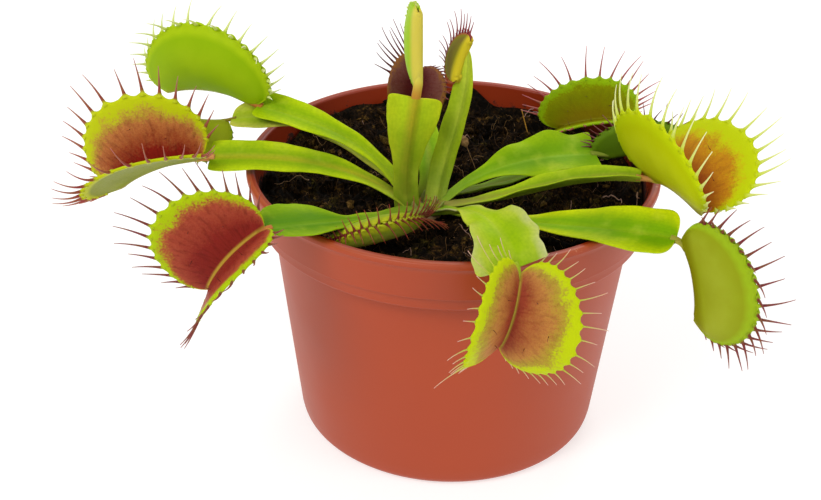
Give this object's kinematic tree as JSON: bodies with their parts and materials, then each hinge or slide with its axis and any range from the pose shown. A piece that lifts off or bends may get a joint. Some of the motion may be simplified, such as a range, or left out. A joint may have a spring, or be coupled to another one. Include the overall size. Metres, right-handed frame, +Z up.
{
  "type": "potted venus flytrap",
  "caption": "Venus flytrap plant growing in a filled round plastic nursery pot; toothed snap traps on flat leaf stalks arch out over the rim, and the pot stands on its flat base.",
  "frame": {"origin": "centre of the flat boss of the pot's base, in the plane that the pot stands on", "axes": "+Z up along the pot's axis, -Y towards the front of the plant, +X to its right"},
  "size_m": [0.1508, 0.11, 0.1038],
  "materials": {
    "pot_plastic": "satin",
    "soil": "matte",
    "leaf_base": "satin",
    "leaf_green": "satin",
    "trap_lime": "satin",
    "trap_green": "satin",
    "trap_olive": "satin",
    "trap_amber": "satin",
    "trap_tan": "satin",
    "trap_red": "satin",
    "trap_maroon": "satin"
  },
  "bodies": {
    "root": {"pot": "pot_plastic", "soil": "soil", "rootstock": "leaf_base", "petiole_left_high": "leaf_green", "petiole_left": "leaf_green", "petiole_left_low": "leaf_green", "petiole_left_back": "leaf_green", "petiole_on_soil": "leaf_green", "petiole_front": "leaf_green", "petiole_right_low": "leaf_green", "petiole_right_high": "leaf_green", "petiole_right": "leaf_green", "petiole_right_back": "leaf_green", "petiole_upright": "leaf_green", "petiole_tall": "leaf_green", "petiole_dark": "leaf_green", "trap_left_high": "trap_lime", "trap_left": "trap_tan", "trap_left_low": "trap_red", "trap_left_back": "trap_olive", "trap_on_soil": "trap_olive", "trap_front": "trap_tan", "trap_right_low": "trap_olive", "trap_right_high": "trap_amber", "trap_right": "trap_green", "trap_right_back": "trap_olive", "trap_upright": "trap_lime", "trap_tall": "trap_olive", "trap_dark": "trap_maroon"}
  },
  "joints": []
}
